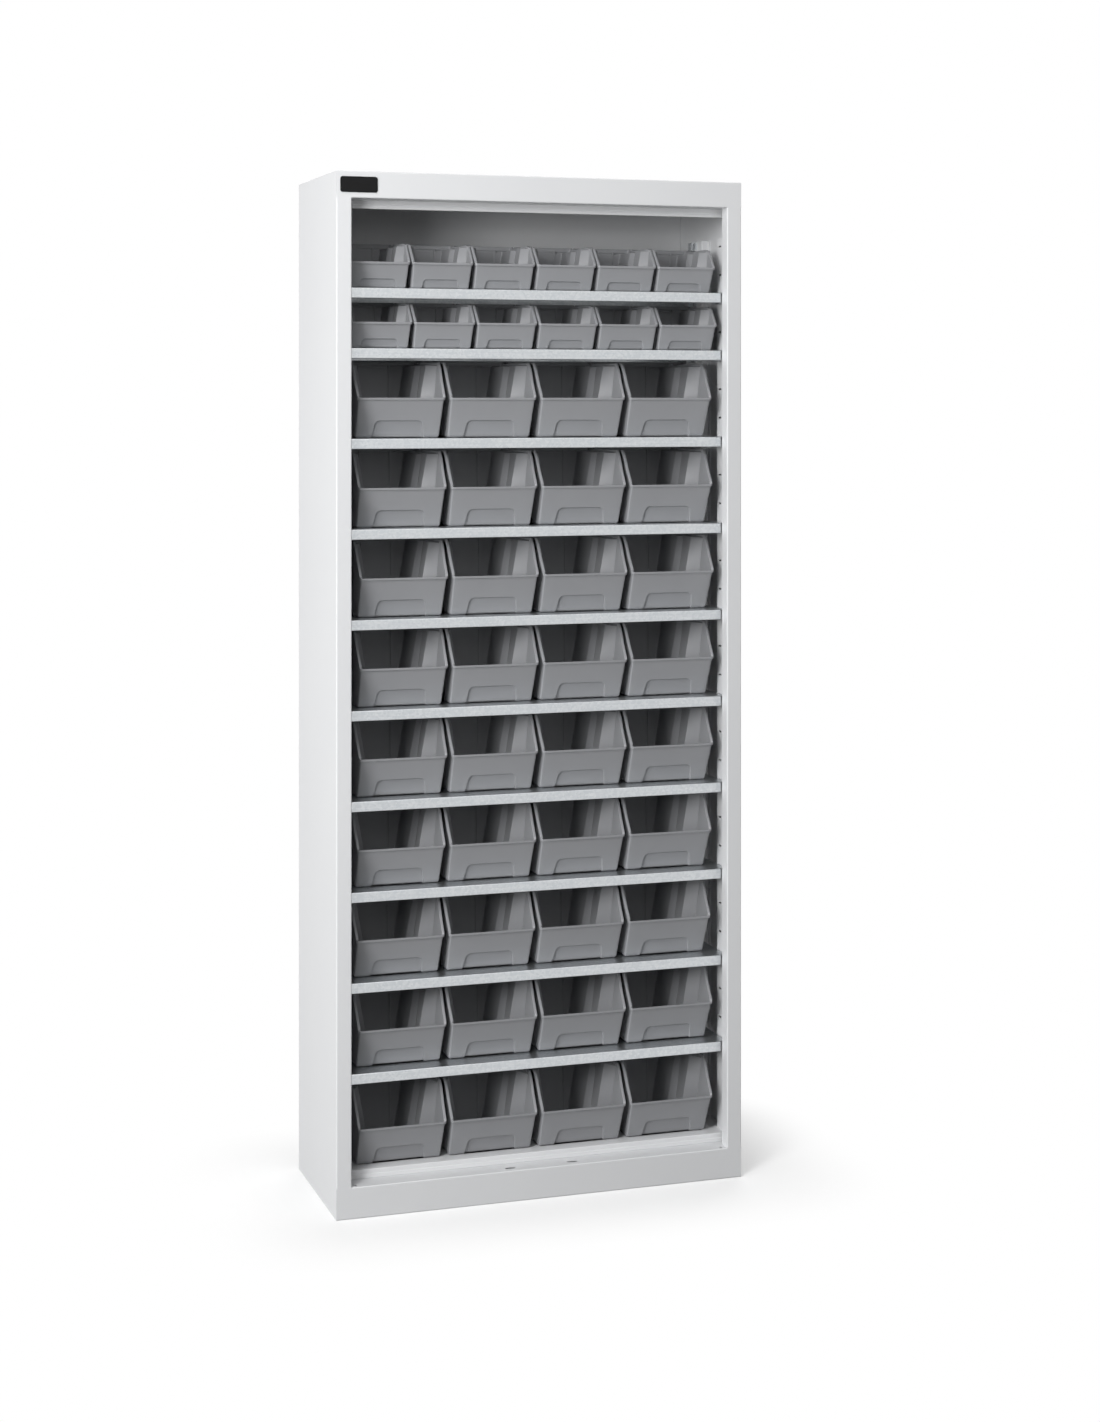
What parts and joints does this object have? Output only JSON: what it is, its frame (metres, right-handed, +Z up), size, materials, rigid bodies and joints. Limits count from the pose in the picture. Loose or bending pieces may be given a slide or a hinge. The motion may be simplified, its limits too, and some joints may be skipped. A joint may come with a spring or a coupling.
{
  "type": "parts bin cabinet",
  "caption": "Tall, shallow open-fronted steel cabinet with shelves on slotted uprights, holding rows of open-fronted plastic bins that pull out over the shelf edges.",
  "frame": {"origin": "middle of the footprint, on the ground", "axes": "+X to the right seen from the front, +Y from the open front to the back panel, +Z up"},
  "size_m": [0.717, 0.2874, 1.72],
  "materials": {
    "painted_sheet": "light grey powder coat, satin",
    "zinc_sheet": "galvanised, fine spangle",
    "bin_plastic": "mid grey moulded polypropylene, matt",
    "badge_black": "black, smooth, blank"
  },
  "bodies": {
    "cabinet": {"left_side": "painted_sheet", "right_side": "painted_sheet", "back_panel": "painted_sheet", "top_cap": "painted_sheet", "plinth": "painted_sheet", "floor_panel": "painted_sheet", "front_uprights": "painted_sheet", "rear_uprights": "painted_sheet", "shelves": "zinc_sheet", "shelf_clips": "zinc_sheet", "badge_plate": "badge_black", "back_rivets": "painted_sheet"},
    "small_bin_1_1": {"small_bin_1_1": "bin_plastic"},
    "small_bin_1_2": {"small_bin_1_2": "bin_plastic"},
    "small_bin_1_3": {"small_bin_1_3": "bin_plastic"},
    "small_bin_1_4": {"small_bin_1_4": "bin_plastic"},
    "small_bin_1_5": {"small_bin_1_5": "bin_plastic"},
    "small_bin_1_6": {"small_bin_1_6": "bin_plastic"},
    "small_bin_2_1": {"small_bin_2_1": "bin_plastic"},
    "small_bin_2_2": {"small_bin_2_2": "bin_plastic"},
    "small_bin_2_3": {"small_bin_2_3": "bin_plastic"},
    "small_bin_2_4": {"small_bin_2_4": "bin_plastic"},
    "small_bin_2_5": {"small_bin_2_5": "bin_plastic"},
    "small_bin_2_6": {"small_bin_2_6": "bin_plastic"},
    "large_bin_3_1": {"large_bin_3_1": "bin_plastic"},
    "large_bin_3_2": {"large_bin_3_2": "bin_plastic"},
    "large_bin_3_3": {"large_bin_3_3": "bin_plastic"},
    "large_bin_3_4": {"large_bin_3_4": "bin_plastic"},
    "large_bin_4_1": {"large_bin_4_1": "bin_plastic"},
    "large_bin_4_2": {"large_bin_4_2": "bin_plastic"},
    "large_bin_4_3": {"large_bin_4_3": "bin_plastic"},
    "large_bin_4_4": {"large_bin_4_4": "bin_plastic"},
    "large_bin_5_1": {"large_bin_5_1": "bin_plastic"},
    "large_bin_5_2": {"large_bin_5_2": "bin_plastic"},
    "large_bin_5_3": {"large_bin_5_3": "bin_plastic"},
    "large_bin_5_4": {"large_bin_5_4": "bin_plastic"},
    "large_bin_6_1": {"large_bin_6_1": "bin_plastic"},
    "large_bin_6_2": {"large_bin_6_2": "bin_plastic"},
    "large_bin_6_3": {"large_bin_6_3": "bin_plastic"},
    "large_bin_6_4": {"large_bin_6_4": "bin_plastic"},
    "large_bin_7_1": {"large_bin_7_1": "bin_plastic"},
    "large_bin_7_2": {"large_bin_7_2": "bin_plastic"},
    "large_bin_7_3": {"large_bin_7_3": "bin_plastic"},
    "large_bin_7_4": {"large_bin_7_4": "bin_plastic"},
    "large_bin_8_1": {"large_bin_8_1": "bin_plastic"},
    "large_bin_8_2": {"large_bin_8_2": "bin_plastic"},
    "large_bin_8_3": {"large_bin_8_3": "bin_plastic"},
    "large_bin_8_4": {"large_bin_8_4": "bin_plastic"},
    "large_bin_9_1": {"large_bin_9_1": "bin_plastic"},
    "large_bin_9_2": {"large_bin_9_2": "bin_plastic"},
    "large_bin_9_3": {"large_bin_9_3": "bin_plastic"},
    "large_bin_9_4": {"large_bin_9_4": "bin_plastic"},
    "large_bin_10_1": {"large_bin_10_1": "bin_plastic"},
    "large_bin_10_2": {"large_bin_10_2": "bin_plastic"},
    "large_bin_10_3": {"large_bin_10_3": "bin_plastic"},
    "large_bin_10_4": {"large_bin_10_4": "bin_plastic"},
    "large_bin_11_1": {"large_bin_11_1": "bin_plastic"},
    "large_bin_11_2": {"large_bin_11_2": "bin_plastic"},
    "large_bin_11_3": {"large_bin_11_3": "bin_plastic"},
    "large_bin_11_4": {"large_bin_11_4": "bin_plastic"}
  },
  "joints": [
    {"name": "small_bin_1_1_slide", "type": "slide", "parent": "cabinet", "child": "small_bin_1_1", "axis": [0, -1, 0], "range_m": [0, 0.145]},
    {"name": "small_bin_1_2_slide", "type": "slide", "parent": "cabinet", "child": "small_bin_1_2", "axis": [0, -1, 0], "range_m": [0, 0.145]},
    {"name": "small_bin_1_3_slide", "type": "slide", "parent": "cabinet", "child": "small_bin_1_3", "axis": [0, -1, 0], "range_m": [0, 0.145]},
    {"name": "small_bin_1_4_slide", "type": "slide", "parent": "cabinet", "child": "small_bin_1_4", "axis": [0, -1, 0], "range_m": [0, 0.145]},
    {"name": "small_bin_1_5_slide", "type": "slide", "parent": "cabinet", "child": "small_bin_1_5", "axis": [0, -1, 0], "range_m": [0, 0.145]},
    {"name": "small_bin_1_6_slide", "type": "slide", "parent": "cabinet", "child": "small_bin_1_6", "axis": [0, -1, 0], "range_m": [0, 0.145]},
    {"name": "small_bin_2_1_slide", "type": "slide", "parent": "cabinet", "child": "small_bin_2_1", "axis": [0, -1, 0], "range_m": [0, 0.145]},
    {"name": "small_bin_2_2_slide", "type": "slide", "parent": "cabinet", "child": "small_bin_2_2", "axis": [0, -1, 0], "range_m": [0, 0.145]},
    {"name": "small_bin_2_3_slide", "type": "slide", "parent": "cabinet", "child": "small_bin_2_3", "axis": [0, -1, 0], "range_m": [0, 0.145]},
    {"name": "small_bin_2_4_slide", "type": "slide", "parent": "cabinet", "child": "small_bin_2_4", "axis": [0, -1, 0], "range_m": [0, 0.145]},
    {"name": "small_bin_2_5_slide", "type": "slide", "parent": "cabinet", "child": "small_bin_2_5", "axis": [0, -1, 0], "range_m": [0, 0.145]},
    {"name": "small_bin_2_6_slide", "type": "slide", "parent": "cabinet", "child": "small_bin_2_6", "axis": [0, -1, 0], "range_m": [0, 0.145]},
    {"name": "large_bin_3_1_slide", "type": "slide", "parent": "cabinet", "child": "large_bin_3_1", "axis": [0, -1, 0], "range_m": [0, 0.206]},
    {"name": "large_bin_3_2_slide", "type": "slide", "parent": "cabinet", "child": "large_bin_3_2", "axis": [0, -1, 0], "range_m": [0, 0.206]},
    {"name": "large_bin_3_3_slide", "type": "slide", "parent": "cabinet", "child": "large_bin_3_3", "axis": [0, -1, 0], "range_m": [0, 0.206]},
    {"name": "large_bin_3_4_slide", "type": "slide", "parent": "cabinet", "child": "large_bin_3_4", "axis": [0, -1, 0], "range_m": [0, 0.206]},
    {"name": "large_bin_4_1_slide", "type": "slide", "parent": "cabinet", "child": "large_bin_4_1", "axis": [0, -1, 0], "range_m": [0, 0.206]},
    {"name": "large_bin_4_2_slide", "type": "slide", "parent": "cabinet", "child": "large_bin_4_2", "axis": [0, -1, 0], "range_m": [0, 0.206]},
    {"name": "large_bin_4_3_slide", "type": "slide", "parent": "cabinet", "child": "large_bin_4_3", "axis": [0, -1, 0], "range_m": [0, 0.206]},
    {"name": "large_bin_4_4_slide", "type": "slide", "parent": "cabinet", "child": "large_bin_4_4", "axis": [0, -1, 0], "range_m": [0, 0.206]},
    {"name": "large_bin_5_1_slide", "type": "slide", "parent": "cabinet", "child": "large_bin_5_1", "axis": [0, -1, 0], "range_m": [0, 0.206]},
    {"name": "large_bin_5_2_slide", "type": "slide", "parent": "cabinet", "child": "large_bin_5_2", "axis": [0, -1, 0], "range_m": [0, 0.206]},
    {"name": "large_bin_5_3_slide", "type": "slide", "parent": "cabinet", "child": "large_bin_5_3", "axis": [0, -1, 0], "range_m": [0, 0.206]},
    {"name": "large_bin_5_4_slide", "type": "slide", "parent": "cabinet", "child": "large_bin_5_4", "axis": [0, -1, 0], "range_m": [0, 0.206]},
    {"name": "large_bin_6_1_slide", "type": "slide", "parent": "cabinet", "child": "large_bin_6_1", "axis": [0, -1, 0], "range_m": [0, 0.206]},
    {"name": "large_bin_6_2_slide", "type": "slide", "parent": "cabinet", "child": "large_bin_6_2", "axis": [0, -1, 0], "range_m": [0, 0.206]},
    {"name": "large_bin_6_3_slide", "type": "slide", "parent": "cabinet", "child": "large_bin_6_3", "axis": [0, -1, 0], "range_m": [0, 0.206]},
    {"name": "large_bin_6_4_slide", "type": "slide", "parent": "cabinet", "child": "large_bin_6_4", "axis": [0, -1, 0], "range_m": [0, 0.206]},
    {"name": "large_bin_7_1_slide", "type": "slide", "parent": "cabinet", "child": "large_bin_7_1", "axis": [0, -1, 0], "range_m": [0, 0.206]},
    {"name": "large_bin_7_2_slide", "type": "slide", "parent": "cabinet", "child": "large_bin_7_2", "axis": [0, -1, 0], "range_m": [0, 0.206]},
    {"name": "large_bin_7_3_slide", "type": "slide", "parent": "cabinet", "child": "large_bin_7_3", "axis": [0, -1, 0], "range_m": [0, 0.206]},
    {"name": "large_bin_7_4_slide", "type": "slide", "parent": "cabinet", "child": "large_bin_7_4", "axis": [0, -1, 0], "range_m": [0, 0.206]},
    {"name": "large_bin_8_1_slide", "type": "slide", "parent": "cabinet", "child": "large_bin_8_1", "axis": [0, -1, 0], "range_m": [0, 0.206]},
    {"name": "large_bin_8_2_slide", "type": "slide", "parent": "cabinet", "child": "large_bin_8_2", "axis": [0, -1, 0], "range_m": [0, 0.206]},
    {"name": "large_bin_8_3_slide", "type": "slide", "parent": "cabinet", "child": "large_bin_8_3", "axis": [0, -1, 0], "range_m": [0, 0.206]},
    {"name": "large_bin_8_4_slide", "type": "slide", "parent": "cabinet", "child": "large_bin_8_4", "axis": [0, -1, 0], "range_m": [0, 0.206]},
    {"name": "large_bin_9_1_slide", "type": "slide", "parent": "cabinet", "child": "large_bin_9_1", "axis": [0, -1, 0], "range_m": [0, 0.206]},
    {"name": "large_bin_9_2_slide", "type": "slide", "parent": "cabinet", "child": "large_bin_9_2", "axis": [0, -1, 0], "range_m": [0, 0.206]},
    {"name": "large_bin_9_3_slide", "type": "slide", "parent": "cabinet", "child": "large_bin_9_3", "axis": [0, -1, 0], "range_m": [0, 0.206]},
    {"name": "large_bin_9_4_slide", "type": "slide", "parent": "cabinet", "child": "large_bin_9_4", "axis": [0, -1, 0], "range_m": [0, 0.206]},
    {"name": "large_bin_10_1_slide", "type": "slide", "parent": "cabinet", "child": "large_bin_10_1", "axis": [0, -1, 0], "range_m": [0, 0.206]},
    {"name": "large_bin_10_2_slide", "type": "slide", "parent": "cabinet", "child": "large_bin_10_2", "axis": [0, -1, 0], "range_m": [0, 0.206]},
    {"name": "large_bin_10_3_slide", "type": "slide", "parent": "cabinet", "child": "large_bin_10_3", "axis": [0, -1, 0], "range_m": [0, 0.206]},
    {"name": "large_bin_10_4_slide", "type": "slide", "parent": "cabinet", "child": "large_bin_10_4", "axis": [0, -1, 0], "range_m": [0, 0.206]},
    {"name": "large_bin_11_1_slide", "type": "slide", "parent": "cabinet", "child": "large_bin_11_1", "axis": [0, -1, 0], "range_m": [0, 0.191]},
    {"name": "large_bin_11_2_slide", "type": "slide", "parent": "cabinet", "child": "large_bin_11_2", "axis": [0, -1, 0], "range_m": [0, 0.191]},
    {"name": "large_bin_11_3_slide", "type": "slide", "parent": "cabinet", "child": "large_bin_11_3", "axis": [0, -1, 0], "range_m": [0, 0.191]},
    {"name": "large_bin_11_4_slide", "type": "slide", "parent": "cabinet", "child": "large_bin_11_4", "axis": [0, -1, 0], "range_m": [0, 0.191]}
  ]
}
